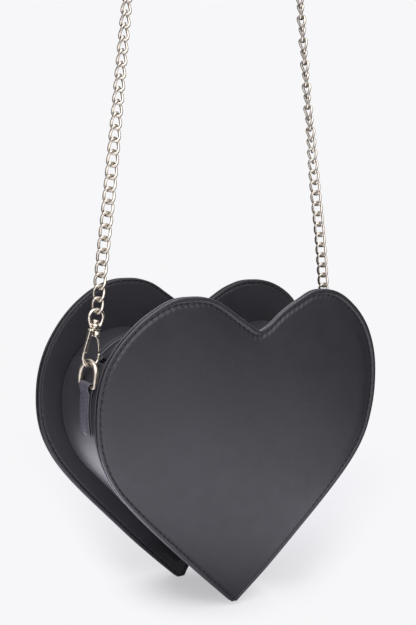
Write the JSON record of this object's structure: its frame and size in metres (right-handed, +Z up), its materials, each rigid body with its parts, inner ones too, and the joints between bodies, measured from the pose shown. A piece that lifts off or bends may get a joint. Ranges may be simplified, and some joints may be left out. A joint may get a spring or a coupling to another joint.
{
  "type": "heart shaped purse",
  "caption": "Heart shaped leather purse: two stiff heart panels over a zipped gusset, with D-rings, swivel snap hooks and a curb chain strap.",
  "frame": {"origin": "under the top link of the chain strap, where a hook or a hand holds the purse", "axes": "+X to the wearer's right seen from the front panel, +Y from the front panel to the back panel, +Z up"},
  "size_m": [0.21, 0.064, 0.4344],
  "materials": {
    "leather_panel": "matt smooth grained leather, charcoal black",
    "leather_gusset": "smooth leather with a soft sheen, charcoal black",
    "leather_tab": "smooth leather, painted edges",
    "board": "fibre board",
    "thread": "waxed thread",
    "lining": "plain woven lining",
    "zip_tape": "woven tape",
    "zip_teeth": "moulded teeth",
    "zip_metal": "black enamel",
    "pale_gold": "polished pale gold plating",
    "spring_steel": "bright wire"
  },
  "bodies": {
    "strap": {"chain_left": "pale_gold", "chain_top": "pale_gold", "chain_right": "pale_gold", "swivel_eye_left": "pale_gold", "swivel_eye_right": "pale_gold"},
    "hook_left": {"hook_left": "pale_gold", "gate_rivet_left": "pale_gold", "gate_spring_left": "spring_steel"},
    "hook_right": {"hook_right": "pale_gold", "gate_rivet_right": "pale_gold", "gate_spring_right": "spring_steel"},
    "gate_left": {"gate_left": "pale_gold"},
    "gate_right": {"gate_right": "pale_gold"},
    "ring_left": {"d_ring_left": "pale_gold"},
    "ring_right": {"d_ring_right": "pale_gold"},
    "slider": {"zip_slider": "zip_metal"},
    "pull": {"zip_pull": "zip_metal"},
    "bag": {"front_cover_outer": "leather_panel", "front_board": "board", "front_cover_inner": "leather_panel", "front_stitching": "thread", "back_cover_outer": "leather_panel", "back_board": "board", "back_cover_inner": "leather_panel", "back_stitching": "thread", "gusset_band": "leather_gusset", "gusset_top_front": "leather_gusset", "gusset_top_back": "leather_gusset", "lining_band_front": "lining", "lining_band_back": "lining", "lining_band_base": "lining", "lining_front": "lining", "lining_back": "lining", "zip_tape_front": "zip_tape", "zip_tape_back": "zip_tape", "zip_teeth_front": "zip_teeth", "zip_teeth_back": "zip_teeth", "zip_stop_left": "zip_metal", "zip_stop_right": "zip_metal", "side_tab_left": "leather_tab", "side_tab_right": "leather_tab"}
  },
  "joints": [
    {"name": "bag_swing", "type": "hinge", "parent": "strap", "child": "bag", "pos_m": [0.023, 0, -0.28375], "axis": [1, 0, 0], "range_deg": [-35, 35]},
    {"name": "swivel_left", "type": "hinge", "parent": "strap", "child": "hook_left", "pos_m": [-0.0685, 0, -0.28375], "axis": [0.0819, 0, 0.9966], "range_deg": [-25, 25]},
    {"name": "swivel_right", "type": "hinge", "parent": "strap", "child": "hook_right", "pos_m": [0.1145, 0, -0.28375], "axis": [-0.2317, 0, 0.9728], "range_deg": [-25, 25]},
    {"name": "gate_left_open", "type": "hinge", "parent": "hook_left", "child": "gate_left", "pos_m": [-0.06606, 0, -0.26629], "axis": [0, 1, 0], "range_deg": [0, 22], "stiffness_Nm_per_rad": 0.002, "springref_deg": -17.19},
    {"name": "gate_right_open", "type": "hinge", "parent": "hook_right", "child": "gate_right", "pos_m": [0.10945, 0, -0.26686], "axis": [0, -1, 0], "range_deg": [0, 22], "stiffness_Nm_per_rad": 0.002, "springref_deg": -17.19},
    {"name": "ring_left_turn", "type": "hinge", "parent": "bag", "child": "ring_left", "pos_m": [-0.06965, 0, -0.2946], "axis": [0, 1, 0], "range_deg": [-2, 2]},
    {"name": "ring_right_turn", "type": "hinge", "parent": "bag", "child": "ring_right", "pos_m": [0.11565, 0, -0.2946], "axis": [0, 1, 0], "range_deg": [-2, 2]},
    {"name": "zip_slide", "type": "hinge", "parent": "bag", "child": "slider", "pos_m": [0.077, 0, -0.305], "axis": [0, -1, 0], "range_deg": [0, 55]},
    {"name": "zip_pull_flip", "type": "hinge", "parent": "slider", "child": "pull", "pos_m": [0.09677, 0, -0.27075], "axis": [0, 1, 0], "range_deg": [0, 70]}
  ]
}
